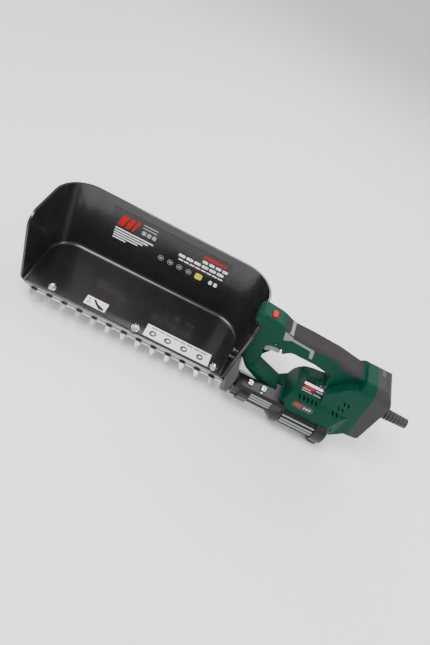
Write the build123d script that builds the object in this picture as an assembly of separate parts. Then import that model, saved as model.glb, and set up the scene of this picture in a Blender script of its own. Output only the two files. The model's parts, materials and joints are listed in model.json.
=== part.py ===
from build123d import *
import math
import os

# One-sided garden trimmer with a collecting tray, run from a supply cable.
# X runs along the cutting bar towards the handle, -Y is the way the teeth point, +Z is up.
# Everything is laid out from the tray's front left corner, then moved by ORIGIN on writing,
# so that the written part has its origin under the middle of the whole tool.

# ---- driving dimensions, in millimetres ----
ORIGIN = (273.83, 50.17, -38.5)     # bottom centre of the whole tool, in the layout numbers

TRAY_X = (-5.5, 301.5, 305.5)     # left wall, right wall in front and right wall behind, at the floor
TRAY_DEPTH = 113.0
TRAY_TOP = 109.0
TRAY_WALL = 3.0
TRAY_DRAFT = 2.0                  # degrees
TRAY_CORNER = 42.0
TRAY_STRAIGHT = 55.0              # the right wall runs straight back from here
TRAY_BOTTOM = -1.0
FLOOR_TOP = 1.0
FLOOR_FRONT = 5.0

TOOTH_COUNT = 13
TOOTH_PITCH = 22.5
FIRST_TOOTH = 17.0
TOOTH_TIP_Y = -13.0
HALF_STROKE = 5.0                 # each blade moves this far either way
BLADE_FRONT = -1.0
BLADE_BACK = 18.0
BLADE_THICK = 1.3
UPPER_BLADE_Z = -6.3              # undersides of the two blades
LOWER_BLADE_Z = -7.8
BAR_Z = (-4.0, TRAY_BOTTOM)
WEAR_Z = (-4.8, -4.0)
KEEPER_Z = (-10.0, -8.0)
BOLT_X = (37.0, 163.0, 285.0)
BOLT_Y = 10.0
BOLT_R = 2.5

UNIT_Y = 8.0                      # axis of the motor, in line with the bar
UNIT_Z = -8.0
UNIT_R = 21.0
UNIT_TOP = 16.5                   # flat top of the collars, under the housing
CRANK_X = 348.0
CRANK_PIN_R = 5.5                 # eccentric discs
CRANK_SHAFT_R = 3.0
SPUR_MODULE = 0.7
SPUR_TEETH = (10, 26)
FACE_MODULE = 0.85
FACE_TEETH = (10, 28)
BACKLASH = 0.15
LAY_Z = UNIT_Z + SPUR_MODULE * sum(SPUR_TEETH) / 2 + BACKLASH
FACE_PITCH_Z = LAY_Z - FACE_MODULE * FACE_TEETH[0] / 2
FACE_PITCH_R = FACE_MODULE * FACE_TEETH[1] / 2
GEARCASE_X = (320.0, 376.0)
GEARCASE_SPLIT = -8.7
CASE_TOP = 18.0
MID_COLLAR_X = (376.0, 397.0)
MID_COLLAR_R = 23.0
TUBE_X = (397.0, 449.0)
REAR_COLLAR_X = (449.0, 468.0)
REAR_COLLAR_R = 23.5

BODY_Y = 28.0                     # parting plane of the two housing shells
GRIP_HALF = 16.0
HUMP_NEAR = 36.0                  # the drive unit sits under the wide near side
HUMP_FAR = 22.0
REAR_HALF = 30.0
SHELL = 3.0
REAR_TOP = 107.0
CAP_REAR = 507.0
CABLE_Z = 54.0
CABLE_R = 3.6
RELIEF_END = 557.0
RELIEF_NECK_R = 7.0
CLAMP_SCREW_Y = (BODY_Y - 8.5, BODY_Y + 8.5)
MOTOR_SHAFT_R = 2.45              # a little smaller than the bearings' bores

TRIGGER_X = 330.5                 # hinge pin of the trigger
TRIGGER_Z = 89.5
TRIGGER_HALF = 13.0
PLUNGER_X = 345.0
BUTTON_X = 317.0
BUTTON_Y = 24.5
BUTTON_TOP = 128.6
BRACKET_Y = 38.0
BRACKET_Z = (8.0, 23.0)
DOWEL_X = 327.0
DOWEL_Y = (4.0, 17.0)
# X, Y, head radius and depth of thread of the screws in the gear case's top face.
TOP_SCREWS = ((338.0, 0.0, 5.0, 9.0), (358.0, 0.0, 5.0, 9.0), (356.5, -8.3, 1.6, 6.0))
# X, Z and distance from the parting plane to the far face, for each screw through the housing.
BODY_SCREWS = ((338.0, 91.5, 16.0), (312.0, 103.0, 16.0), (320.0, 40.0, 16.0), (430.0, 98.0, 16.0),
               (462.0, 88.0, 30.0), (478.0, 26.0, 30.0))   # X, Z and the far face, from the middle
FRONT_SCREW_REACH = 15.4          # the front screw shows its end in the near flank
SCREW_REACH = 9.0
UNIT_SCREWS = ((389.0, 25.0, -19.0), (459.0, 25.0, -22.0))
CAP_SCREWS = ((8.0, 32.0), (48.0, 32.0), (28.0, 88.0))
VENT_X = [403.0 + 6.2 * index for index in range(5)]

X_DIR, Y_DIR, Z_DIR = (1, 0, 0), (0, 1, 0), (0, 0, 1)


# ---- building blocks ----
def prism(plane, points, radius, low, high):
    """Prism of a closed outline with rounded corners, between two heights over a plane."""
    face = plane.offset(low) * make_face(FilletPolyline(*points, radius=radius, close=True))
    return extrude(face, high - low, dir=plane.z_dir)


def along_x(points, radius, low, high):
    return prism(Plane.YZ, points, radius, low, high)


def along_y(points, radius, low, high):
    return prism(Plane.XZ, points, radius, -high, -low)


def along_z(points, radius, low, high):
    return prism(Plane.XY, points, radius, low, high)


def block(x, y, z):
    centre = [(pair[0] + pair[1]) / 2 for pair in (x, y, z)]
    return Pos(*centre) * Box(x[1] - x[0], y[1] - y[0], z[1] - z[0])


def rod(direction, start, length, radius):
    plane = Plane(origin=start, z_dir=direction)
    return extrude(plane * Circle(radius), length, dir=direction)


def pipe(direction, start, length, outer, inner):
    return rod(direction, start, length, outer) - rod(direction, start, length, inner)


def rectangle(x0, x1, y0, y1):
    return [(x0, y0), (x1, y0), (x1, y1), (x0, y1)]


def gear_face(teeth, module, first_angle, height=0.9):
    """Outline of a spur gear with straight-sided teeth, one of them at first_angle degrees."""
    pitch_r = teeth * module / 2
    step = 2 * math.pi / teeth
    levels = ((pitch_r - 1.1 * module, 0.31), (pitch_r, 0.21), (pitch_r + height * module, 0.11))
    points = []
    for index in range(teeth):
        middle = math.radians(first_angle) + index * step
        for radius, share in levels:
            angle = middle - share * step
            points.append((radius * math.cos(angle), radius * math.sin(angle)))
        for radius, share in reversed(levels):
            angle = middle + share * step
            points.append((radius * math.cos(angle), radius * math.sin(angle)))
    return make_face(Polyline(*points, close=True))


# ---- collecting tray ----
def tray_form(inset):
    left, right_front, right = TRAY_X[0] + inset, TRAY_X[1] - inset, TRAY_X[2] - inset
    corner = TRAY_CORNER - inset
    points = [(left, -20), (right_front, -20), (right, TRAY_STRAIGHT), (right, TRAY_DEPTH - inset),
              (left, TRAY_DEPTH - inset)]
    face = make_face(FilletPolyline(*points, radius=[0, 0, 0, corner, corner], close=True))
    height = TRAY_TOP - TRAY_BOTTOM
    return extrude(Plane.XY.offset(TRAY_BOTTOM) * face, height, taper=-TRAY_DRAFT)


def round_foot(form, radius):
    return fillet(form.edges().group_by(Axis.Z)[0], radius)


def collecting_tray():
    nose = 20.0
    outer = round_foot(tray_form(0), 8)
    inner = tray_form(TRAY_WALL) - block((-50, 350), (-50, 200), (-20, FLOOR_TOP))
    inner = round_foot(inner, 5)
    wide = (TRAY_X[0] - 15, TRAY_X[2] + 15)
    front = block(wide, (-60, 0), (-10, 130))
    front += block(wide, (-1, nose), (TRAY_TOP - nose, 130))
    front -= rod(X_DIR, (TRAY_X[0] - 20, nose, TRAY_TOP - nose), TRAY_X[2] + 40, nose)
    tray = outer - inner - front
    tray -= block((3.5, 297.0), (-5, FLOOR_FRONT), (-5, FLOOR_TOP + 0.5))
    for x in BOLT_X:
        tray -= rod(Z_DIR, (x, BOLT_Y, -3), 8, BOLT_R + 0.3)
    for z in BRACKET_Z:
        tray -= rod(X_DIR, (285, BRACKET_Y, z), 30, 2.1)
    return tray


def crop_divider():
    """Rounded nose that runs down from the tray's end wall and parts the stems beside the bar."""
    front = [(296.8, 66), (303, 66), (311, 42), (315.5, 28), (318, 12), (317.6, -3), (313, -9), (303.3, -9),
             (296.8, 2)]
    side = [(-13, -9), (-15.4, -3), (-13.5, 6), (-7, 24), (-3, 42), (-1.4, 66), (4, 66), (9, 45), (19, 26),
            (20, -9)]
    plan = [(296.8, -0.4), (303, -9), (309, -15.4), (314, -15.4), (318.2, -6), (318.2, 12), (312, 20),
            (298, 20)]
    nose = along_y(front, [0, 4, 20, 20, 10, 5, 4, 3, 0], -30, 40)
    nose &= along_x(side, [2, 5, 12, 20, 20, 1, 1, 6, 6, 2], 290, 325)
    nose &= along_z(plan, [0.2, 6, 4, 3, 4, 6, 6, 0], -12, 70)
    nose = nose - tray_form(-0.05) - block((290, 303.2), (-30, 30), (-12, TRAY_BOTTOM))
    # The bar, the blades and the keeper pass through the nose.
    return nose - block((300, 320), (-3.5, 23), (KEEPER_Z[0] - 0.3, BAR_Z[1]))


def tray_bracket():
    """Angle between the tray's end wall and the gear case."""
    wall = along_x(rectangle(29.1, 46, -20, 30), 5, 306.3, 309.3)
    foot = along_y(rectangle(306.3, 345, -20, -1), 4, 29.1, 32.1)
    bracket = wall + foot
    for z in BRACKET_Z:
        bracket -= rod(X_DIR, (300, BRACKET_Y, z), 20, 2.1)
    return bracket


def tray_bracket_screws():
    screws = []
    for z in BRACKET_Z:
        head = rod(X_DIR, (298.4, BRACKET_Y, z), 2.4, 4.0)
        shank = rod(X_DIR, (300.8, BRACKET_Y, z), 14, 2.0)
        nut = extrude(Plane(origin=(309.3, BRACKET_Y, z), z_dir=X_DIR) * RegularPolygon(3.9, 6), 3.2)
        screws.append(head + shank + nut)
    return screws


# ---- cutting bar ----
def bolt_holes(solid):
    for x in BOLT_X:
        solid -= rod(Z_DIR, (x, BOLT_Y, -20), 30, BOLT_R + 0.15)
    return solid


def support_bar():
    bar = along_z(rectangle(0.5, 331, -0.3, 22), [2, 3, 3, 2], *BAR_Z)
    for y in DOWEL_Y:
        bar -= rod(Z_DIR, (DOWEL_X, y, -6), 10, 1.5)
    return bolt_holes(bar)


def bar_dowels():
    return [rod(Z_DIR, (DOWEL_X, y, BAR_Z[0]), 9, 1.5) for y in DOWEL_Y]


def tooth_positions(shift=0.0):
    return [FIRST_TOOTH + shift + index * TOOTH_PITCH for index in range(TOOTH_COUNT)]


def wear_strip():
    strip = block((6, 318), (0.5, 20), WEAR_Z)
    for x in tooth_positions():
        tab = rectangle(x - 4.5, x + 4.5, -2.6, 2)
        strip += along_z(tab, [2, 2, 0, 0], *WEAR_Z)
    return bolt_holes(strip)


def blade(low, shift):
    """One toothed blade with a closed yoke round the eccentrics at its tail."""
    high = low + BLADE_THICK
    reach = CRANK_PIN_R + 2 * HALF_STROKE + 0.5
    side = CRANK_PIN_R + HALF_STROKE + 0.5
    spine = along_z(rectangle(8, 303, BLADE_FRONT, BLADE_BACK), 1, low, high)
    tail = block((300, CRANK_X - reach), (UNIT_Y - 7, UNIT_Y + 7), (low, high))
    teeth = []
    for x in tooth_positions(shift):
        outline = [(x - 6.6, BLADE_FRONT + 1), (x - 4.0, BLADE_FRONT - 2.2), (x - 0.8, TOOTH_TIP_Y),
                   (x + 0.8, TOOTH_TIP_Y), (x + 4.0, BLADE_FRONT - 2.2), (x + 6.6, BLADE_FRONT + 1)]
        teeth.append(along_z(outline, [0, 3, 0.5, 0.5, 3, 0], low, high))
    yoke = rectangle(CRANK_X - reach - 2.8, CRANK_X + reach + 2.8, UNIT_Y - side - 2.2, UNIT_Y + side + 2.2)
    window = rectangle(CRANK_X - reach, CRANK_X + reach, UNIT_Y - side, UNIT_Y + side)
    blade_body = spine + tail + teeth + along_z(yoke, 9, low, high)
    blade_body -= along_z(window, 6, low - 1, high + 1)
    for x in BOLT_X:
        slot = rectangle(x - BOLT_R - HALF_STROKE - 0.6, x + BOLT_R + HALF_STROKE + 0.6,
                         BOLT_Y - BOLT_R - 0.5, BOLT_Y + BOLT_R + 0.5)
        blade_body -= along_z(slot, 2.9, low - 1, high + 1)
    return blade_body


def keeper_plate():
    plate = along_z(rectangle(10, 318, 4, 19), 3, *KEEPER_Z)
    return bolt_holes(plate)


def blade_bolts():
    bolts = []
    for x in BOLT_X:
        head = rod(Z_DIR, (x, BOLT_Y, KEEPER_Z[0] - 2.6), 2.6, 4.6)
        head = fillet(head.edges().group_by(Axis.Z)[0], 1.6)
        socket = extrude(Plane.XY.offset(KEEPER_Z[0] - 3) * Pos(x, BOLT_Y) * RegularPolygon(1.7, 6), 1.6)
        bolts.append(head + rod(Z_DIR, (x, BOLT_Y, KEEPER_Z[0]), 15.5, BOLT_R) - socket)
    return bolts


def dome_nuts():
    nuts = []
    for x in BOLT_X:
        flange = chamfer(rod(Z_DIR, (x, BOLT_Y, FLOOR_TOP), 1.6, 6.2).edges().group_by(Axis.Z)[-1], 0.7)
        hexagon = extrude(Plane.XY.offset(FLOOR_TOP) * Pos(x, BOLT_Y) * RegularPolygon(4.7, 6), 5.2)
        dome = Pos(x, BOLT_Y, FLOOR_TOP + 4.2) * Sphere(4.0) & block((x - 5, x + 5), (5, 15), (5, 12))
        nuts.append(flange + hexagon + dome - rod(Z_DIR, (x, BOLT_Y, 0), 6, BOLT_R + 0.02))
    return nuts


# ---- drive unit ----
def case_form(gap=0.0):
    """Upper half of the gear case: a wide shoulder over the narrower chamber of the blades."""
    section = [(-8.4, GEARCASE_SPLIT), (-8.4, -4.6), (-13.5, 1), (-13.5, 13), (-11, CASE_TOP),
               (UNIT_Y + 2, CASE_TOP), (28, 2), (28, GEARCASE_SPLIT)]
    if gap:
        section = [(y + math.copysign(gap, y - UNIT_Y), z + math.copysign(gap, z + 1)) for y, z in section]
    return along_x(section, [0, 2, 3, 2, 1.5, 6, 4, 0] if not gap else 0, GEARCASE_X[0], GEARCASE_X[1])


def cover_form():
    section = [(-8.4, GEARCASE_SPLIT), (-8.4, -11), (0, -18), (16, -18), (28, -12), (28, GEARCASE_SPLIT)]
    return along_x(section, [0, 2, 4, 4, 3, 0], *GEARCASE_X)


def unit_rod(low, high, radius, z=UNIT_Z):
    return rod(X_DIR, (low, UNIT_Y, z), high - low, radius)


def crank_axis(low, high, radius, shift=0.0):
    return rod(Z_DIR, (CRANK_X, UNIT_Y + shift, low), high - low, radius)


def gear_case():
    case = case_form()
    yoke_room = block((323.3, 372.7), (-5.8, 21.8), (GEARCASE_SPLIT - 1, -4.3))
    blade_way = block((318, 325), (UNIT_Y - 7.6, UNIT_Y + 7.6), (GEARCASE_SPLIT - 1, -4.2))
    bar_way = block((318, 331.3), (-0.6, 22.3), (-4.2, BAR_Z[1]))
    gear_room = crank_axis(-4.5, 1.9, 14.6) + crank_axis(0, 2.5, CRANK_SHAFT_R + 1)
    pinion_room = unit_rod(354.5, 366, 5.9, LAY_Z)
    case = case - yoke_room - blade_way - bar_way - gear_room - pinion_room
    case -= crank_axis(2.4, 8.5, 5.5)
    case -= unit_rod(365, 371, 4.5, LAY_Z) + unit_rod(370, 377, 2.6, LAY_Z)
    for y in DOWEL_Y:
        case -= rod(Z_DIR, (DOWEL_X, y, -6), 11, 1.5)
    for x, y, radius, depth in TOP_SCREWS:
        case -= rod(Z_DIR, (x, y, CASE_TOP - depth), depth, radius * 0.5)
    return case


def gear_case_cover():
    cover = cover_form() - crank_axis(-16.3, GEARCASE_SPLIT + 1, 5.5)
    return cover - block((318, 322), (-1, 20), (KEEPER_Z[0] - 0.2, -8))


def crank_bushes():
    upper = crank_axis(2.4, 8.5, 5.5) - crank_axis(2.4, 8.5, CRANK_SHAFT_R + 0.04)
    lower = crank_axis(-16, -11, 5.5) - crank_axis(-16, -11, CRANK_SHAFT_R + 0.04)
    return [upper, lower]


def layshaft_bushes():
    places = ((366, 371), (390.5, 395))
    return [unit_rod(low, high, 4.5, LAY_Z) - unit_rod(low, high, 2.04, LAY_Z) for low, high in places]


def gear_case_screws():
    screws = []
    for x, y, radius, depth in TOP_SCREWS:
        head = rod(Z_DIR, (x, y, CASE_TOP), radius * 0.7, radius)
        head = fillet(head.edges().group_by(Axis.Z)[-1], radius * 0.55)
        hexagon = Pos(x, y) * RegularPolygon(radius * 0.45, 6)
        socket = extrude(Plane.XY.offset(CASE_TOP + radius * 0.3) * hexagon, 5)
        screws.append(head + rod(Z_DIR, (x, y, CASE_TOP - depth), depth, radius * 0.5) - socket)
    return screws


def crank_gear():
    """Face gear, with the two eccentrics half a turn apart under it."""
    root_z = FACE_PITCH_Z - 1.1 * FACE_MODULE
    tip_z = FACE_PITCH_Z + 0.65 * FACE_MODULE
    low_r, high_r = FACE_PITCH_R - 2.4, FACE_PITCH_R + 2.1
    gear = crank_axis(-3.4, root_z, high_r)
    step = 360 / FACE_TEETH[1]
    root_half = 0.235 * math.radians(step) * FACE_PITCH_R
    tip_half = 0.075 * math.radians(step) * FACE_PITCH_R
    flank = [(-root_half, root_z - 0.2), (root_half, root_z - 0.2), (tip_half, tip_z), (-tip_half, tip_z)]
    tooth = along_x(flank, 0, low_r, high_r - 0.1)
    for index in range(FACE_TEETH[1]):
        gear += Pos(CRANK_X, UNIT_Y) * Rot(0, 0, (index + 0.5) * step) * tooth
    gear += crank_axis(-4.85, -3.4, CRANK_PIN_R - 1, HALF_STROKE)
    gear += crank_axis(UPPER_BLADE_Z - 0.1, -4.85, CRANK_PIN_R, HALF_STROKE)
    gear += crank_axis(LOWER_BLADE_Z - 0.2, UPPER_BLADE_Z - 0.1, CRANK_PIN_R, -HALF_STROKE)
    return gear + crank_axis(-15.8, 8.3, CRANK_SHAFT_R)


def layshaft():
    """Second shaft, with the wheel the motor turns and the pinion that turns the face gear."""
    wheel = Plane(origin=(379, UNIT_Y, LAY_Z), x_dir=Y_DIR, z_dir=X_DIR)
    half_step = 180 / SPUR_TEETH[1]
    spur = extrude(wheel * gear_face(SPUR_TEETH[1], SPUR_MODULE, -90 + half_step), 6)
    small = Plane(origin=(CRANK_X + FACE_PITCH_R - 2.2, UNIT_Y, LAY_Z), x_dir=Y_DIR, z_dir=X_DIR)
    pinion = extrude(small * gear_face(FACE_TEETH[0], FACE_MODULE, -90), 4.2)
    return spur + pinion + unit_rod(357, 395, 2.0, LAY_Z) + unit_rod(385, 386.6, 4.0, LAY_Z)


def mid_collar():
    """Flared black collar that closes the wheel chamber and carries the motor's front bearing."""
    start = Plane(origin=(MID_COLLAR_X[0], UNIT_Y, UNIT_Z), z_dir=X_DIR)
    flare = loft([start * Circle(14.5), start.offset(12) * Circle(MID_COLLAR_R)])
    band = unit_rod(MID_COLLAR_X[0] + 12, MID_COLLAR_X[1], MID_COLLAR_R)
    flare += fillet(band.edges().group_by(Axis.X)[-1], 2)
    neck = along_x([(-12, 0), (-12, 13), (-9, 16.4), (24, 16.4), (26, 2), (20, -6)], 2, *MID_COLLAR_X)
    collar = flare + (neck & block((376, 392), (-20, 40), (-20, 20)))
    collar -= unit_rod(377.5, 387, 10.6, LAY_Z) + unit_rod(375, 377.6, 2.6, LAY_Z)
    collar -= unit_rod(377.5, 387, 8.5) + unit_rod(386, 396, 2.6)
    collar -= unit_rod(386, 396, 3, LAY_Z) + unit_rod(390.5, 395, 4.5, LAY_Z)
    collar -= unit_rod(391.5, 398, 8.0)
    for space in unit_screw_space():
        collar -= space
    return collar - housing_clearance()


def housing_clearance():
    """Space over the drive unit that belongs to the housing."""
    return block((300, 500), (-40, 80), (UNIT_TOP, 140))


def motor_tube():
    """Black motor barrel with long grooves."""
    tube = unit_rod(*TUBE_X, UNIT_R) - unit_rod(TUBE_X[0] - 1, TUBE_X[1] + 1, 17.5)
    for index in range(24):
        angle = math.radians(15 * index)
        y = UNIT_Y + UNIT_R * math.cos(angle)
        z = UNIT_Z + UNIT_R * math.sin(angle)
        tube -= rod(X_DIR, (TUBE_X[0] + 1.5, y, z), TUBE_X[1] - TUBE_X[0] - 3, 1.1)
    return tube - housing_clearance()


def rib_set(low, high, radius):
    """Three bright ribs along the near flank of the motor."""
    ribs = []
    for lift in (-2, 11, 27):
        y = UNIT_Y - radius * math.cos(math.radians(lift))
        z = UNIT_Z + radius * math.sin(math.radians(lift))
        ribs.append(fillet(rod(X_DIR, (low, y, z), high - low, 1.7).edges(), 0.6))
    return ribs


def front_ribs():
    """Three bright ribs along the near face of the gear case."""
    ribs = [fillet(rod(X_DIR, (344.5, -13.4, z), 31, 1.5).edges(), 0.5) for z in (3.4, 8.2, 12.9)]
    return [rib - case_form() for rib in ribs]


def motor_ribs():
    barrel = unit_rod(*TUBE_X, UNIT_R)
    return [rib - barrel for rib in rib_set(TUBE_X[0] + 1, TUBE_X[1] - 1, UNIT_R + 0.3)]


def front_collar():
    """Clamp ring round the gear case behind the blades' way in, with its ear below."""
    outline = [(-16.5, 2), (-16.5, 9), (-14.5, 11.5), (-10, 11.5), (-6, -8), (-4, -15), (10, -16), (10, -21),
               (-4, -20.5), (-12, -11.5)]
    ring = along_x(outline, [5, 2, 1, 0, 0, 0, 0, 1, 5, 5], 329, 343.5)
    below_cover = [(-8.5, -8), (-8.5, -11.1), (0, -18.1), (16, -18.1), (16, -8)]
    ring = ring - case_form(0.1) - cover_form() - along_x(below_cover, 0, 320, 376)
    return ring.solids().sort_by(SortBy.VOLUME)[-1]


def rear_collar():
    collar = unit_rod(*REAR_COLLAR_X, REAR_COLLAR_R)
    collar = fillet(collar.edges().group_by(Axis.X)[-1], 4)
    foot = along_x([(-5, -20), (21, -20), (18, -38.5), (-2, -38.5)], [0, 0, 3, 3], 457, 468)
    collar += foot
    collar -= unit_rod(448, 454, 17.5) + unit_rod(453, 459, 8) + unit_rod(458, 462, 3.5)
    for space in unit_screw_space():
        collar -= space
    return collar - housing_clearance()


def motor_can():
    return unit_rod(TUBE_X[0] + 0.5, 453.5, 17.5) - unit_rod(TUBE_X[0] - 1, 454, 16.2)


def magnets():
    ring = unit_rod(402, 434, 16.2) - unit_rod(401, 435, 11.8)
    gaps = block((400, 436), (UNIT_Y - 3, UNIT_Y + 3), (UNIT_Z - 20, UNIT_Z + 20))
    return (ring - gaps).solids()


def bearings():
    places = ((391.5, 396.5), (454, 459))
    return [unit_rod(low, high, 8) - unit_rod(low, high, 2.5) for low, high in places]


def rotor_shaft():
    shaft = unit_rod(380, 461, MOTOR_SHAFT_R)
    shaft -= unit_rod(379, 386.5, 4) - unit_rod(378, 387, 2)
    small = Plane(origin=(379, UNIT_Y, UNIT_Z), x_dir=Y_DIR, z_dir=X_DIR)
    return shaft + extrude(small * gear_face(SPUR_TEETH[0], SPUR_MODULE, 90), 6.5)


def rotor_core():
    core = unit_rod(403, 433, 11.2)
    slots = 12
    for index in range(slots):
        slot = Rot(360 * index / slots, 0, 0) * Pos(418, 0, 9.9) * Box(40, 1.4, 3)
        core -= Pos(0, UNIT_Y, UNIT_Z) * slot
    return core - unit_rod(400, 440, MOTOR_SHAFT_R)


def commutator():
    return unit_rod(436, 444, 6.2) - unit_rod(435, 445, MOTOR_SHAFT_R)


def cooling_fan():
    hub = unit_rod(398.2, 401.4, 5)
    blade_count = 9
    for index in range(blade_count):
        vane = Rot(360 * index / blade_count, 0, 0) * Pos(399.8, 0, 9.5) * Rot(0, 0, 32) * Box(3.2, 0.9, 10.4)
        hub += Pos(0, UNIT_Y, UNIT_Z) * vane
    return hub & unit_rod(397.9, 401.7, 15) - unit_rod(390, 410, MOTOR_SHAFT_R)


def carbon_brushes():
    pair = []
    for side in (-1, 1):
        y = sorted((UNIT_Y + side * 6.5, UNIT_Y + side * 14))
        pair.append(block((437.5, 442.5), y, (UNIT_Z - 2, UNIT_Z + 2)))
    return pair


def brush_ring():
    ring = unit_rod(436, 444, 16.2) - unit_rod(435, 445, 9)
    for brush in carbon_brushes():
        ring -= brush
    return ring


# ---- housing ----
GRIP_OUTLINE = [(302, 110), (296.5, 111.5), (297.5, 126), (306, 127.5), (331, 124.8), (347, 117), (374, 117.3),
                (418, 115), (452, 109), (474, 99.5), (474, 20), (400, 2), (372, 0), (352, 9.5), (322, 26), (302, 51)]
GRIP_RADII = [1.5, 3, 7, 14, 40, 40, 120, 80, 60, 8, 8, 8, 12, 30, 20, 20]
LOOP_OUTLINE = [(331.5, 35), (331.5, 64), (339, 77), (353, 79), (362, 88.3), (395, 88.3), (421, 83.5),
                (425.5, 60),
                (408, 58), (392, 53), (387, 12)]
LOOP_RADII = [4, 8, 3, 6, 10, 30, 4, 4, 14, 10, 3]


def grip_part(inset, half):
    """Handle, front arm and rear post, as one flat ring."""
    ring = make_face(FilletPolyline(*GRIP_OUTLINE, radius=GRIP_RADII, close=True))
    hole = make_face(FilletPolyline(*LOOP_OUTLINE, radius=LOOP_RADII, close=True))
    if inset:
        ring = offset(ring, -inset, kind=Kind.INTERSECTION)
        hole = offset(hole, inset, kind=Kind.INTERSECTION)
    face = Plane.XZ.offset(-BODY_Y - half) * (ring - hole)
    return extrude(face, 2 * half, dir=(0, -1, 0))


def hump_part(inset):
    """Wide lower body, domed on top and pulled in at both ends."""
    top = 59 - inset
    low = -4 + inset
    near, far = BODY_Y - HUMP_NEAR + inset, BODY_Y + HUMP_FAR - inset
    section = [(near + 4, low), (near, 14), (near + 3, 38), (near + 13, top - 3), (BODY_Y, top + 2),
               (far - 10, top - 8), (far - 2, 34), (far, 14), (far - 4, low)]
    form = along_x(section, [5, 18, 16, 20, 14, 10, 10, 12, 5], 366, 492)
    side = [(366 + inset, 6), (390 + inset, low), (474, low), (492 - inset, 17 + inset), (492 - inset, 70),
            (432, 70), (408, top + 3), (391 + inset, 53), (386 + inset, 19)]
    form &= along_y(side, [3, 10, 10, 5, 2, 8, 14, 10, 3], -40, 100)
    plan = [(364 + inset, BODY_Y - 16 + inset), (392 + inset, near), (462 - inset, near),
            (476 - inset, BODY_Y - REAR_HALF + inset), (500, BODY_Y - REAR_HALF + inset),
            (500, BODY_Y + REAR_HALF - inset), (476 - inset, BODY_Y + REAR_HALF - inset),
            (462 - inset, far), (392 + inset, far), (364 + inset, BODY_Y + 16 - inset)]
    return form & along_z(plan, [3, 18, 14, 10, 0, 0, 10, 14, 18, 3], -30, 120)


def rear_part(inset, rear):
    """Square rear of the body: the part that the rear cap closes."""
    side = [(428 + inset, 62), (446 + inset, 90 - inset), (459 + inset, 96 - inset), (464 + inset, REAR_TOP - inset),
            (rear, REAR_TOP - inset), (rear, 14 + inset), (470, 8 + inset), (440 + inset, 8 + inset)]
    form = along_y(side, [8, 8, 4, 4, 16, 5, 5, 3], BODY_Y - REAR_HALF + inset, BODY_Y + REAR_HALF - inset)
    section = rectangle(BODY_Y - REAR_HALF + inset, BODY_Y + REAR_HALF - inset, 0, REAR_TOP - inset)
    return form & along_x(section, [0, 0, 15, 15], 400, 520)


def behind_cap_line(gap=0.0):
    """Everything behind the slanted joint between body and rear cap."""
    outline = [(477 + gap, 130), (492.5 + gap, 5), (492.5 + gap, -20), (540, -20), (540, 130)]
    return along_y(outline, 0, -60, 120)


def drive_unit_space():
    """What the drive unit and its collars take out of the housing."""
    section = [(-13.8, -60), (-13.8, 13.2), (-11.2, 18.3), (10.2, 18.3), (28.3, 2.2), (28.3, -60)]
    case = along_x(section, 0, GEARCASE_X[0] - 1, GEARCASE_X[1] + 0.1)
    barrel = unit_rod(*TUBE_X, UNIT_R + 0.3)
    barrel += unit_rod(MID_COLLAR_X[0] - 2, MID_COLLAR_X[1] + 0.3, MID_COLLAR_R + 0.3)
    barrel += along_x(rectangle(-12.3, 26.3, -6, 20), 0, MID_COLLAR_X[0] - 1, 392.3)
    barrel += unit_rod(REAR_COLLAR_X[0] - 0.3, REAR_COLLAR_X[1] + 1, REAR_COLLAR_R + 0.3)
    return case + (barrel & block((300, 500), (-40, 80), (-60, UNIT_TOP + 0.3)))


def vents():
    slots = []
    for x in VENT_X:
        slots.append(Pos(x, -8, 41) * Rot(0, -22, 0) * Box(2.2, 30, 7))
    for row, (x, z) in enumerate(((458, 64), (456, 52), (454, 40))):
        for column in (0, 1):
            slots.append(Pos(x + 6 * column, -5, z) * Rot(0, -28, 0) * Box(1.8, 30, 8))
    return slots


def housing_screw_bosses(outer):
    x, z, _ = BODY_SCREWS[0]
    bosses = rod(Y_DIR, (x, BODY_Y - 40, z), 40, 3.0) + rod(Y_DIR, (x, BODY_Y + 7, z), 33, 4.6)
    for x, z, _ in BODY_SCREWS[1:]:
        bosses += rod(Y_DIR, (x, BODY_Y - 40, z), 80, 4.2)
    for low, high in ((-40, -8), (8, 40)):
        bosses += rod(Y_DIR, (TRIGGER_X, BODY_Y + low, TRIGGER_Z), high - low, 3.2)
    return bosses & outer


def screw_reach(x):
    return FRONT_SCREW_REACH if x == BODY_SCREWS[0][0] else SCREW_REACH


def housing_screws():
    """Screws from the far face, with their heads sunk in the far shell."""
    screws = []
    for x, z, far in BODY_SCREWS:
        near = screw_reach(x)
        shank = rod(Y_DIR, (x, BODY_Y - near, z), far - 3 + near, 1.6)
        head = rod(Y_DIR, (x, BODY_Y + far - 3, z), 2, 3.3)
        socket = extrude(Plane(origin=(x, BODY_Y + far - 2, z), z_dir=Y_DIR) * RegularPolygon(1.3, 6), 3)
        screws.append(shank + head - socket)
    return screws


def unit_screws():
    """Long screws that hold the drive unit up against the housing."""
    screws = []
    for x, y, low in UNIT_SCREWS:
        screws.append(rod(Z_DIR, (x, y, low), 40, 2) + rod(Z_DIR, (x, y, low), 3, 3.6))
    return screws


def unit_screw_space():
    space = []
    for x, y, low in UNIT_SCREWS:
        space.append(rod(Z_DIR, (x, y, low - 1), 41, 2) + rod(Z_DIR, (x, y, low - 20), 23, 3.7))
    return space


def saddle_wall():
    """Inner floor that rests on the drive unit."""
    barrel = unit_rod(MID_COLLAR_X[0] - 4, REAR_COLLAR_X[1] + 3, UNIT_R + 8.5)
    return barrel & block((300, 500), (-40, 80), (-60, 20))


def fillet_grip(form):
    rims = form.faces().filter_by(Axis.Y).edges()
    return fillet(rims, 5)


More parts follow.
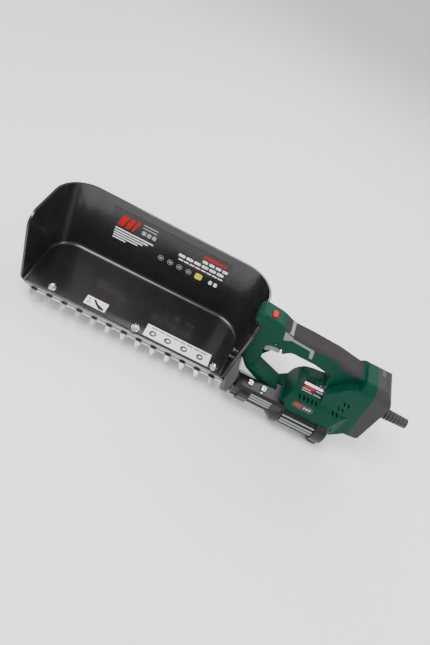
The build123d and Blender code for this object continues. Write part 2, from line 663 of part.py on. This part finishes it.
def trigger_room():
    """Window in both flanks that the trigger swings up into."""
    outline = [(327.4, 70.5), (327.4, 83), (333, 86.4), (346, 88.4), (351.2, 88.4), (351.2, 74), (336, 74),
               (333, 69)]
    window = along_y(outline, 0, BODY_Y - TRIGGER_HALF - 6, BODY_Y + TRIGGER_HALF + 6)
    return window + block((326.5, 351), (BODY_Y - 6.8, BODY_Y + 6.8), (75, 97))


def button_room():
    return block((BUTTON_X - 3.8, BUTTON_X + 3.8), (BUTTON_Y - 6.3, BUTTON_Y + 6.3), (116, 140))


def outer_form():
    return fillet_grip(grip_part(0, GRIP_HALF)) + hump_part(0) + rear_part(0, 500)


def handle_grip(outer):
    """Soft overmould on the top of the handle, 1.6 mm deep in the shells."""
    zone = [(329, 140), (337.5, 118.5), (349.5, 118.9), (352, 114.2), (418, 112), (428, 104), (446, 103), (458, 108),
            (460, 140)]
    skin = outer - grip_part(1.6, GRIP_HALF - 1.6)
    return skin & along_y(zone, [0, 1, 1, 2, 4, 3, 4, 2, 0], -20, 80) - rear_part(-0.01, 500)


def grip_trim(outer):
    """Narrow light bar below the overmould, on both flanks."""
    outline = [(341.8, 104.8), (338, 118.4), (349.4, 118.8), (351, 114.1), (383.5, 112.2), (387.5, 97), (383, 97),
               (379.3, 108.4), (351.5, 110.2)]
    skin = outer - grip_part(1.0, GRIP_HALF - 1.0)
    bar = skin & along_y(outline, [0.5, 0, 0, 2, 2, 0.5, 0.5, 2, 2], -20, 80)
    # The overmould above it goes deeper, so the bar stops short of it.
    above = [(329, 140), (337.4, 118.4), (349.4, 118.8), (351.9, 114.1), (418, 111.9), (420, 140)]
    return bar - along_y(above, 0, -20, 80)


def rating_plate(outer):
    outline = [(390, 66), (430, 66), (434, 51), (412, 46), (396, 51)]
    skin = outer - hump_part(0.5)
    return skin & along_y(outline, [2, 2, 3, 10, 6], -20, 16) - rear_part(-0.01, 500)


def badge_plate(outer):
    outline = rectangle(399, 431, 21.5, 32.5)
    return (outer - hump_part(0.8)) & along_y(outline, 5.4, -20, 10)


def housing_body(outer, inserts):
    inner = grip_part(SHELL, GRIP_HALF - SHELL) + hump_part(SHELL) + rear_part(SHELL, 510)
    bosses = housing_screw_bosses(outer)
    body = outer - inner + bosses + (saddle_wall() & outer)
    body = body - behind_cap_line() - drive_unit_space()
    for x, z, far in BODY_SCREWS:
        near = screw_reach(x)
        body -= rod(Y_DIR, (x, BODY_Y - near, z), far - 3 + near, 1.6)
        body -= rod(Y_DIR, (x, BODY_Y + far - 3, z), 20, 3.4)
    for cut in vents() + unit_screw_space() + inserts:
        body -= cut
    x, z, _ = BODY_SCREWS[0]
    body -= rod(Y_DIR, (x, BODY_Y - 40, z + 0.7), 26.5, 2.9)
    body = body - trigger_room() - button_room() - tray_form(-0.15)
    return body - rod(Y_DIR, (TRIGGER_X, BODY_Y - 13.5, TRIGGER_Z), 27, 1.3)


def half_of(body, near):
    keep = (-60, BODY_Y) if near else (BODY_Y, 120)
    return body & block((250, 560), keep, (-60, 160))


# ---- rear cap and supply cable ----
def rear_cap():
    shell = rear_part(0, CAP_REAR) - rear_part(SHELL, CAP_REAR - SHELL)
    cap = shell & behind_cap_line()
    for y, z in CAP_SCREWS:
        boss = rod(X_DIR, (494, y, z), CAP_REAR - 494, 4.5)
        cap = cap + boss - rod(X_DIR, (480, y, z), 30, 1.6) - rod(X_DIR, (CAP_REAR - 3, y, z), 9, 3.3)
    cap -= rod(X_DIR, (CAP_REAR - 8, BODY_Y, CABLE_Z), 20, RELIEF_NECK_R)
    return cap - cap_latch() - clamp_block()


def cap_latch():
    low = REAR_TOP - 2
    return fillet(block((484.5, 489.5), (34, 46), (low, REAR_TOP + 0.5)).edges().filter_by(Axis.Z), 1.2)


def cap_screws():
    screws = []
    for y, z in CAP_SCREWS:
        shank = rod(X_DIR, (486, y, z), 19, 1.6)
        head = rod(X_DIR, (CAP_REAR - 3, y, z), 2.2, 3.2)
        socket = extrude(Plane(origin=(CAP_REAR - 2, y, z), z_dir=X_DIR) * RegularPolygon(1.3, 6), 4)
        screws.append(shank + head - socket)
    return screws


def strain_relief():
    """Ribbed rubber sleeve with a flange behind the cap's wall."""
    start = CAP_REAR - SHELL
    sleeve = rod(X_DIR, (start - 2, BODY_Y, CABLE_Z), 2, RELIEF_NECK_R + 2.5)
    sleeve += rod(X_DIR, (start, BODY_Y, CABLE_Z), SHELL + 1, RELIEF_NECK_R)
    plane = Plane(origin=(CAP_REAR, BODY_Y, CABLE_Z), z_dir=X_DIR)
    cone = loft([plane * Circle(8.8), plane.offset(RELIEF_END - CAP_REAR) * Circle(7.2)])
    for index in range(9):
        x = CAP_REAR + 4 + index * 5.2
        cone -= pipe(X_DIR, (x, BODY_Y, CABLE_Z), 2.2, 12, 6.9)
    return sleeve + cone - rod(X_DIR, (480, BODY_Y, CABLE_Z), 90, CABLE_R)


def clamp_block():
    return block((488, 496), (BODY_Y - 12, BODY_Y + 12), (CABLE_Z - 8, CABLE_Z + 6))


def cable_clamp():
    clamp = fillet(clamp_block().edges().filter_by(Axis.X), 2)
    clamp -= rod(X_DIR, (480, BODY_Y, CABLE_Z), 30, CABLE_R + 0.4)
    for y in CLAMP_SCREW_Y:
        clamp -= rod(Z_DIR, (492, y, 40), 30, 1.5)
    return clamp


def clamp_screws():
    return [rod(Z_DIR, (492, y, CABLE_Z - 7), 13, 1.5) + rod(Z_DIR, (492, y, CABLE_Z + 6), 2, 2.8)
            for y in CLAMP_SCREW_Y]


# ---- switch, trigger and electrics ----
def trigger():
    """Wide finger plate under a hinge pin near its front end."""
    outline = [(328.2, 73), (328.4, 82.5), (333.5, 85.4), (347.5, 84.3), (348.5, 77.6), (337, 76.5), (331, 71.5)]
    plate = along_y(outline, [2, 2, 1, 1, 1.5, 6, 1.5], BODY_Y - TRIGGER_HALF, BODY_Y + TRIGGER_HALF)
    eye = rod(Y_DIR, (TRIGGER_X, BODY_Y - 6.4, TRIGGER_Z), 12.8, 3.0)
    stem = block((TRIGGER_X - 1.8, TRIGGER_X + 2.2), (BODY_Y - 6.4, BODY_Y + 6.4), (81, TRIGGER_Z))
    return plate + eye + stem - rod(Y_DIR, (TRIGGER_X, 0, TRIGGER_Z), 60, 1.35)


def trigger_pin():
    return rod(Y_DIR, (TRIGGER_X, BODY_Y - 13.5, TRIGGER_Z), 27, 1.3)


def main_switch():
    case = fillet(block((342.6, 372), (BODY_Y - 8, BODY_Y + 8), (98, 111.5)).edges().filter_by(Axis.Y), 1.5)
    case -= rod(Z_DIR, (PLUNGER_X, BODY_Y, 90), 18, 2.05)
    for x in (360, 368):
        case += block((x - 1, x + 1), (BODY_Y - 3, BODY_Y + 3), (93, 98))
    return case


def switch_plunger():
    return rod(Z_DIR, (PLUNGER_X, BODY_Y, 84.75), 18, 2.0) + rod(Z_DIR, (PLUNGER_X, BODY_Y, 86), 1.5, 3.4)


def plunger_spring():
    low, high = 87.7, 97.8
    path = Helix(2.2, high - low - 1.0, 2.8, center=(PLUNGER_X, BODY_Y, low + 0.5))
    section = Plane(origin=path @ 0, z_dir=path % 0) * Circle(0.4)
    return sweep(section, path=path)


def lock_button():
    """Thumb button on top of the handle, with a stem that reaches down into it."""
    cap = block((BUTTON_X - 3.5, BUTTON_X + 3.5), (BUTTON_Y - 6, BUTTON_Y + 6), (BUTTON_TOP - 8, BUTTON_TOP))
    cap = fillet(cap.edges().filter_by(Axis.Z), 2)
    cap = fillet(cap.edges().group_by(Axis.Z)[-1], 0.8)
    return cap + rod(Z_DIR, (BUTTON_X, BUTTON_Y, BUTTON_TOP - 12), 5, 1.6)


def control_board():
    board = block((444, 470), (50, 51.6), (32, 80))
    board += block((448, 466), (44, 50), (64, 78))
    board += block((447, 453), (46, 50), (36, 44)) + block((458, 466), (47, 50), (36, 42))
    return board


def board_capacitor():
    return fillet(rod(Y_DIR, (457, 32, 54), 18, 6.5).edges().group_by(Axis.Y)[0], 1)


def terminal_block():
    terminal = block((462, 474), (14, 34), (60, 72))
    for y in (19, 29):
        terminal -= rod(Z_DIR, (468, y, 68), 8, 2)
    return terminal


# ---- labels ----
def tray_label():
    skin = tray_form(TRAY_WALL) - tray_form(TRAY_WALL + 0.4)
    return skin & block((62, 247), (100, 130), (38, 96))


def tray_stickers():
    small = along_z(rectangle(83.5, 115.5, 10.5, 27.5), 0.8, FLOOR_TOP, FLOOR_TOP + 0.3)
    large = along_z(rectangle(176, 276, 6.5, 29.5), 0.8, FLOOR_TOP, FLOOR_TOP + 0.3)
    return [small, large]


# ---- writing ----
def write(name, shape):
    """Moves a sub-part to the tool's own origin and writes it."""
    items = shape if isinstance(shape, (list, ShapeList)) else [shape]
    solids = [Pos(*[-value for value in ORIGIN]) * solid for item in items for solid in item.solids()]
    group = Compound(children=solids)
    group.label = name
    export_step(group, f"parts/{name}.step")
    return group.bounding_box()


def main():
    os.makedirs("parts", exist_ok=True)
    outer = outer_form()
    inserts = [handle_grip(outer), grip_trim(outer), rating_plate(outer), badge_plate(outer)]
    body = housing_body(outer, inserts)
    pieces = {"housing_near": half_of(body, True), "housing_far": half_of(body, False)}
    for name, piece in zip(("handle_grip", "grip_trim", "rating_plate", "badge_plate"), inserts):
        pieces[name] = piece
    pieces["upper_blade"] = blade(UPPER_BLADE_Z, 0.0)
    pieces["lower_blade"] = blade(LOWER_BLADE_Z, 1.6)
    for maker in PLAIN_PIECES:
        pieces[maker.__name__] = maker()
    boxes = [write(name, piece) for name, piece in pieces.items()]
    lowest = [min(getattr(box.min, axis) for box in boxes) for axis in "XYZ"]
    highest = [max(getattr(box.max, axis) for box in boxes) for axis in "XYZ"]
    print("lowest", lowest, "highest", highest)


PLAIN_PIECES = [
    collecting_tray, crop_divider, tray_bracket, tray_bracket_screws, support_bar, bar_dowels, wear_strip,
    keeper_plate, blade_bolts, dome_nuts, gear_case, gear_case_cover, crank_bushes, layshaft_bushes,
    gear_case_screws, crank_gear, layshaft, front_collar, front_ribs, mid_collar, motor_tube, motor_ribs,
    rear_collar, motor_can, magnets, bearings, rotor_shaft, rotor_core, commutator, cooling_fan,
    carbon_brushes, brush_ring, unit_screws, housing_screws, rear_cap, cap_latch, cap_screws, strain_relief,
    cable_clamp, clamp_screws, trigger, trigger_pin, main_switch, switch_plunger, plunger_spring,
    lock_button, control_board, board_capacitor, terminal_block, tray_label, tray_stickers,
]

main()
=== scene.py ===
import json
import math

import bmesh
import bpy
from mathutils import Matrix, Vector
from mathutils.bvhtree import BVHTree


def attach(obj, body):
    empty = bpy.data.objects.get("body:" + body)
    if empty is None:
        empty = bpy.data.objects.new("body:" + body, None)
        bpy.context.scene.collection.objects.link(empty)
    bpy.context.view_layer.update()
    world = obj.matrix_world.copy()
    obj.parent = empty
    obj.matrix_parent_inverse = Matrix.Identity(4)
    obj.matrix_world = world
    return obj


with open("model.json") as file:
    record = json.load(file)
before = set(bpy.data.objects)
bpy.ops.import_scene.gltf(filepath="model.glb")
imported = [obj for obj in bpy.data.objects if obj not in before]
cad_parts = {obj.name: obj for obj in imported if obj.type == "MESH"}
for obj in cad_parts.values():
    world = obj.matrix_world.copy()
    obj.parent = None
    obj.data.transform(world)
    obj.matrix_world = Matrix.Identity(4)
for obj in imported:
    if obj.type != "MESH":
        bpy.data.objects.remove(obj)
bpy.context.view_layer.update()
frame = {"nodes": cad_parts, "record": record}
nodes = frame["nodes"]
MM = 0.001


# ---- materials ----
def surface(name, colour, rough, metal=0.0, shade=0.12, spot=35.0, grain=1200.0, depth=0.03,
            rough_spread=0.1, stretch=(1.0, 1.0, 1.0), coat=0.0, coat_rough=0.1, specular=0.5):
    """Principled material with its colour, roughness and relief from noise in the object's own space."""
    made = bpy.data.materials.new(name)
    made.use_nodes = True
    tree = made.node_tree
    bsdf = tree.nodes["Principled BSDF"]
    bsdf.inputs["Metallic"].default_value = metal
    bsdf.inputs["Coat Weight"].default_value = coat
    bsdf.inputs["Coat Roughness"].default_value = coat_rough
    bsdf.inputs["Specular IOR Level"].default_value = specular
    place = tree.nodes.new("ShaderNodeTexCoord")
    scale = tree.nodes.new("ShaderNodeMapping")
    scale.inputs["Scale"].default_value = stretch
    tree.links.new(place.outputs["Object"], scale.inputs["Vector"])

    def noise(size, detail):
        made_noise = tree.nodes.new("ShaderNodeTexNoise")
        made_noise.inputs["Scale"].default_value = size
        made_noise.inputs["Detail"].default_value = detail
        tree.links.new(scale.outputs["Vector"], made_noise.inputs["Vector"])
        return made_noise.outputs["Fac"]

    broad = noise(spot, 4.0)
    fine = noise(grain, 2.0)
    ramp = tree.nodes.new("ShaderNodeValToRGB")
    ramp.color_ramp.elements[0].position = 0.3
    ramp.color_ramp.elements[1].position = 0.7
    ramp.color_ramp.elements[0].color = [*(channel * (1 - shade) for channel in colour), 1]
    ramp.color_ramp.elements[1].color = [*(min(1.0, channel * (1 + shade)) for channel in colour), 1]
    tree.links.new(broad, ramp.inputs["Fac"])
    tree.links.new(ramp.outputs["Color"], bsdf.inputs["Base Color"])
    blur = tree.nodes.new("ShaderNodeMapRange")
    blur.inputs["From Min"].default_value = 0.3
    blur.inputs["From Max"].default_value = 0.7
    blur.inputs["To Min"].default_value = max(0.02, rough - rough_spread / 2)
    blur.inputs["To Max"].default_value = rough + rough_spread / 2
    tree.links.new(broad, blur.inputs["Value"])
    tree.links.new(blur.outputs["Result"], bsdf.inputs["Roughness"])
    relief = tree.nodes.new("ShaderNodeBump")
    relief.inputs["Strength"].default_value = depth
    relief.inputs["Distance"].default_value = 0.0004
    tree.links.new(fine, relief.inputs["Height"])
    tree.links.new(relief.outputs["Normal"], bsdf.inputs["Normal"])
    return made


# Stretching the noise draws it out into brushed or rolled lines.
ALONG_BAR = (0.04, 1.0, 1.0)
ALONG_TEETH = (1.0, 0.05, 1.0)
ACROSS_LAMINATE = (8.0, 1.0, 1.0)
MATERIALS = {
    "black_gloss": surface("tray_plastic", (0.011, 0.0108, 0.0115), 0.24, shade=0.15, depth=0.003, grain=900,
                           rough_spread=0.04, coat=0.25),
    "black_matte": surface("unit_plastic", (0.007, 0.0068, 0.007), 0.36, depth=0.1, grain=1800,
                           specular=0.35),
    "green": surface("green_plastic", (0.0, 0.036, 0.0215), 0.45, shade=0.08, depth=0.05, grain=1600,
                     rough_spread=0.05, specular=0.1),
    "grip_rubber": surface("grip_rubber", (0.034, 0.0305, 0.0315), 0.7, specular=0.06, shade=0.1, depth=0.25,
                           grain=2200),
    "trim_grey": surface("trim_plastic", (0.16, 0.157, 0.165), 0.45, depth=0.08),
    "cap_grey": surface("cap_plastic", (0.034, 0.0325, 0.0335), 0.45, specular=0.1, depth=0.1, grain=1800),
    "relief_rubber": surface("relief_rubber", (0.02, 0.02, 0.021), 0.55, depth=0.15),
    "aluminium": surface("aluminium", (0.3, 0.305, 0.32), 0.3, metal=1.0, depth=0.06, stretch=ALONG_BAR),
    "steel": surface("blade_steel", (0.66, 0.67, 0.68), 0.3, metal=1.0, depth=0.08, stretch=ALONG_TEETH),
    "bright_steel": surface("bright_steel", (0.75, 0.75, 0.76), 0.16, metal=1.0, depth=0.02),
    "dark_steel": surface("dark_steel", (0.12, 0.12, 0.125), 0.38, metal=1.0, depth=0.08),
    "brass": surface("sintered_bronze", (0.55, 0.36, 0.16), 0.45, metal=1.0, depth=0.15),
    "red_plastic": surface("red_plastic", (0.42, 0.002, 0.001), 0.4, specular=0.15, depth=0.03),
    "copper_laminate": surface("copper_laminate", (0.32, 0.16, 0.09), 0.4, metal=0.8,
                               stretch=ACROSS_LAMINATE),
    "carbon": surface("carbon", (0.03, 0.03, 0.03), 0.6, depth=0.1),
    "board": surface("board_laminate", (0.01, 0.1, 0.04), 0.35, depth=0.04),
    "label_dark": surface("label_foil", (0.01, 0.01, 0.011), 0.25, depth=0.01),
    "label_white": surface("white_foil", (0.88, 0.88, 0.87), 0.35, shade=0.03, depth=0.01),
    "white_plastic": surface("natural_nylon", (0.6, 0.6, 0.55), 0.45, depth=0.05),
}
PRINTS = {
    "red": surface("print_red", (0.45, 0.001, 0.002), 0.35, shade=0.05, depth=0.01, specular=0.2),
    "white": surface("print_white", (0.88, 0.88, 0.87), 0.4, shade=0.03, depth=0.01),
    "grey": surface("print_grey", (0.3, 0.3, 0.31), 0.4, shade=0.05, depth=0.01),
    "yellow": surface("print_yellow", (0.72, 0.66, 0.0), 0.4, shade=0.04, depth=0.01),
    "black": surface("print_black", (0.012, 0.012, 0.012), 0.4, shade=0.05, depth=0.01),
}


def dress_cad():
    slots = {part["node"]: part["material_slot"] for part in frame["record"]["subparts"]}
    for name, node in nodes.items():
        node.data.materials.clear()
        node.data.materials.append(MATERIALS[slots[name]])


# ---- camera, light and floor, in metres ----
CAMERA_PLACE = (-0.0673, -0.5488, 0.6053)
CAMERA_DEGREES = (5.4, 43.6, 30.5)   # turned to the right, tilted down, rolled
CAMERA_LENS = 30.4                   # millimetres, on a sensor 36 wide
CAMERA_SENSOR = 36
FLOOR_HALF = 6
SKY = (0.95, 0.96, 0.97, 1)
SKY_STRENGTH = 0.85
TOOL_MIDDLE = (0, 0, 0.05)


def add_camera():
    """Looks down on the tray from in front, rolled so that the tool falls away to the right."""
    turn, tilt, roll = (math.radians(angle) for angle in CAMERA_DEGREES)
    forward = Vector((math.sin(turn) * math.cos(tilt), math.cos(turn) * math.cos(tilt), -math.sin(tilt)))
    level = Vector((math.cos(turn), -math.sin(turn), 0))
    up = level.cross(forward)
    right = level * math.cos(roll) + up * math.sin(roll)
    top = up * math.cos(roll) - level * math.sin(roll)
    camera = bpy.data.objects.new("camera", bpy.data.cameras.new("camera"))
    camera.data.lens = CAMERA_LENS
    camera.data.sensor_width = CAMERA_SENSOR
    camera.data.clip_start = 0.01
    aim = Matrix((right, top, -forward)).transposed().to_4x4()
    camera.matrix_world = Matrix.Translation(CAMERA_PLACE) @ aim
    bpy.context.collection.objects.link(camera)
    bpy.context.scene.camera = camera


def add_area(name, place, target, size, power):
    light = bpy.data.lights.new(name, "AREA")
    light.shape = "RECTANGLE"
    light.size, light.size_y = size
    light.energy = power
    lamp = bpy.data.objects.new(name, light)
    direction = Vector(target) - Vector(place)
    lamp.matrix_world = Matrix.Translation(place) @ direction.to_track_quat("-Z", "Y").to_matrix().to_4x4()
    bpy.context.collection.objects.link(lamp)


def add_studio():
    world = bpy.data.worlds.new("studio")
    world.use_nodes = True
    world.node_tree.nodes["Background"].inputs["Color"].default_value = SKY
    world.node_tree.nodes["Background"].inputs["Strength"].default_value = SKY_STRENGTH
    bpy.context.scene.world = world
    add_area("key", (-0.5, -0.5, 1.5), TOOL_MIDDLE, (0.9, 0.7), 30)
    add_area("rear", (0.3, 1.1, 1.1), TOOL_MIDDLE, (1.4, 0.5), 14)
    add_area("side", (1.3, -0.5, 0.8), (0.1, 0, 0.05), (0.5, 0.8), 10)
    floor_mesh = bpy.data.meshes.new("floor")
    signs = ((-1, -1), (1, -1), (1, 1), (-1, 1))
    floor_mesh.from_pydata([(x * FLOOR_HALF, y * FLOOR_HALF, 0) for x, y in signs], [], [(0, 1, 2, 3)])
    floor = bpy.data.objects.new("floor", floor_mesh)
    floor.data.materials.append(surface("floor", (0.95, 0.95, 0.95), 0.75, shade=0.01, spot=3, depth=0.01))
    bpy.context.collection.objects.link(floor)


# ---- printed marks, in the layout's millimetres ----
ORIGIN = Vector((273.83, 50.17, -38.5))   # bottom centre of the tool
LABEL_SLOPE = math.tan(math.radians(2))   # the tray's wall leans back
LABEL_FACE = 109.58                       # front face of the label where the wall starts, at WALL_FOOT
WALL_FOOT = -1
STICKER_FACE = 1.32
CORE_FACE = 1.45
THICK = 0.12                              # of a print
LIFT = 0.06                               # of a print's middle, over a curved face
STEP = 1.5                                # length of a strip on a curved face
ICONS = (148, 163, 178, 193)
ROUND_SIGNS = (188, 211, 236, 261)
AWAY = (0, -1, 0)
UP = (0, 0, 1)


def layout(x, y, z):
    return (Vector((x, y, z)) - ORIGIN) * MM


def bar(x0, x1, low, high, slant=0.0):
    """Outline of a printed bar with clipped corners."""
    cut = min(x1 - x0, high - low) * 0.18
    points = [(x0 + cut, low), (x1 - cut, low), (x1, low + cut), (x1, high - cut), (x1 - cut, high),
              (x0 + cut, high), (x0, high - cut), (x0, low + cut)]
    return [(x + slant * (level - low), level) for x, level in points]


def disc(x, level, radius, sides=24):
    steps = (2 * math.pi * index / sides for index in range(sides))
    return [(x + radius * math.cos(angle), level + radius * math.sin(angle)) for angle in steps]


def ring_parts(x, level, outer, inner, parts=12):
    """Ring made of short curved strips, so that its middle stays open."""
    strips = []
    for index in range(parts):
        first, last = 2 * math.pi * index / parts, 2 * math.pi * (index + 1) / parts
        corners = ((outer, first), (outer, last), (inner, last), (inner, first))
        strips.append([(x + radius * math.cos(angle), level + radius * math.sin(angle))
                       for radius, angle in corners])
    return strips


def bar_row(first, pitch, length, low, high, count):
    return [bar(first + pitch * index, first + pitch * index + length, low, high) for index in range(count)]


def add_piece(name, data, material):
    piece = bpy.data.objects.new(name, data)
    piece.data.materials.append(material)
    bpy.context.collection.objects.link(piece)
    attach(piece, "root")
    return piece


def print_marks(name, outlines, place, normal, material):
    """One thin raised print made of several outlines, lifted off the face it is printed on."""
    mesh = bmesh.new()
    for outline in outlines:
        base = [mesh.verts.new(layout(*place(*point))) for point in outline]
        top = [mesh.verts.new(vert.co + Vector(normal) * THICK * MM) for vert in base]
        mesh.faces.new(top)
        for index in range(len(base)):
            after = (index + 1) % len(base)
            mesh.faces.new((base[index], base[after], top[after], top[index]))
    bmesh.ops.recalc_face_normals(mesh, faces=mesh.faces)
    data = bpy.data.meshes.new(name)
    mesh.to_mesh(data)
    mesh.free()
    add_piece(name, data, material)


def on_label(x, z):
    return x, LABEL_FACE + LABEL_SLOPE * (z - WALL_FOOT), z


def on_floor(x, y):
    return x, y, STICKER_FACE


def on_sign(x, y):
    return x, y, CORE_FACE


def add_label_prints():
    """Plain stripes, bars and rings in place of the label's lettering."""
    red, white, grey = PRINTS["red"], PRINTS["white"], PRINTS["grey"]
    stripes = [bar(low, high, 69, 89, 0.3) for low, high in ((72, 81), (84, 91), (94, 98))]
    print_marks("label_stripes", stripes, on_label, AWAY, red)
    print_marks("label_title", [bar(204, 240, 85.5, 89.5)], on_label, AWAY, red)
    lines = [bar(71.5, 131, 62.8, 64.8), bar(71.5, 124, 58.4, 60.2), bar(71.5, 117, 54.2, 56),
             bar(71.5, 110, 50, 51.8), bar(71.5, 92, 45.8, 47.6)]
    words = bar_row(205, 10.5, 8, 77, 81.4, 4) + bar_row(170, 12.2, 10, 69, 73.4, 6)
    small = bar_row(172, 9, 7.5, 63, 65, 8)
    print_marks("label_lines", lines + words + small, on_label, AWAY, white)
    frames = [bar(109, 131, 83, 84.6), bar(109, 131, 88, 89.6)]
    print_marks("label_squares", bar_row(110, 8, 6, 72, 79, 3) + frames, on_label, AWAY, grey)
    for x in ICONS:
        icon = ring_parts(x, 50.5, 4.6, 3.9) + [bar(x - 2.2, x + 2.2, 49, 52)]
        print_marks(f"label_icon_{x}", icon, on_label, AWAY, grey)
    print_marks("label_sign", [bar(203.5, 214.5, 45.5, 56)], on_label, AWAY, PRINTS["yellow"])
    print_marks("label_ends", bar_row(226, 8, 5, 47, 54, 2), on_label, AWAY, white)


def add_sticker_prints():
    white, black = PRINTS["white"], PRINTS["black"]
    wedge = [(93, 24.8), (97, 25.2), (102, 19.5), (112.5, 15), (113, 11.8), (106, 11.4), (99, 17.5)]
    sign = [wedge, disc(88.5, 22.5, 1.4), bar(86, 92, 14.2, 15.4), bar(86, 92, 17.2, 18.4)]
    print_marks("sticker_small_sign", sign, on_floor, UP, black)
    rounds = [disc(x, 15.5, 5.2) for x in ROUND_SIGNS]
    words = bar_row(183, 11, 9, 24.6, 26.4, 8)
    print_marks("sticker_large_signs", rounds + words, on_floor, UP, black)
    cores = [bar(x - 2.4, x + 2.4, 13.5, 17.5, 0.2) for x in ROUND_SIGNS]
    print_marks("sticker_large_cores", cores, on_sign, UP, white)


def strip_on(form, face, start, end, width):
    """Adds one strip, laid along a curved face by rays from the near side."""
    along = Vector((end[0] - start[0], 0, end[1] - start[1]))
    across = Vector((-along.z, 0, along.x)).normalized() * width / 2
    steps = max(2, int(along.length / STEP))
    rows = []
    for index in range(steps + 1):
        middle = Vector((start[0], -60, start[1])) + along * index / steps
        row = []
        for side in (-1, 0, 1):
            point, normal, _, _ = face.ray_cast(layout(*(middle + across * side)), Vector((0, 1, 0)))
            if point is not None:
                row.append(form.verts.new(point + normal * LIFT * MM))
        rows.append(row)
    for before, after in zip(rows, rows[1:]):
        if len(before) == len(after) == 3:
            form.faces.new((before[0], after[0], after[1], before[1]))
            form.faces.new((before[1], after[1], after[2], before[2]))


def on_surface(node, marks):
    """Lays thin printed marks on a curved CAD node."""
    mesh = nodes[node].data
    face = BVHTree.FromPolygons([vert.co for vert in mesh.vertices],
                                [polygon.vertices for polygon in mesh.polygons])
    for name, strips, material, slot in marks:
        form = bmesh.new()
        for start, end, width in strips:
            strip_on(form, face, start, end, width)
        data = bpy.data.meshes.new(name)
        form.to_mesh(data)
        form.free()
        solid = add_piece(name, data, material).modifiers.new("thickness", "SOLIDIFY")
        solid.thickness = THICK * MM
        solid.offset = 0


def add_plate_prints():
    """Marks on the rating plate and the badge: start and end (X, Z) of each strip, and its width."""
    red, white, grey = PRINTS["red"], PRINTS["white"], PRINTS["grey"]
    stripe = [((394, 56.6), (431, 56.6), 1.5)]
    marks = [((409, 59.0), (419, 59.0), 1.6), ((402, 54.4), (417, 54.4), 1.5)]
    lines = [((400, 52.5), (412, 52.5), 0.9), ((400, 50.3), (415, 50.3), 0.9),
             ((419, 54.4), (429, 54.4), 0.9), ((417, 50.5), (430, 50.5), 0.9)]
    on_surface("rating_plate", [
        ("plate_stripe", stripe, white, "label_white"),
        ("plate_marks", marks, red, "label_dark"),
        ("plate_lines", lines, grey, "label_white"),
    ])
    block = [((403, 27.6), (409, 27.6), 4.6), ((410.4, 27.6), (413, 27.6), 4.6)]
    bars = [((416.4 + 4 * index, 27), (419 + 4 * index, 27), 3.4) for index in range(3)]
    on_surface("badge_plate", [
        ("badge_block", block, red, "label_dark"),
        ("badge_bars", bars, grey, "label_white"),
    ])


add_camera()
add_studio()
dress_cad()
add_label_prints()
add_sticker_prints()
add_plate_prints()
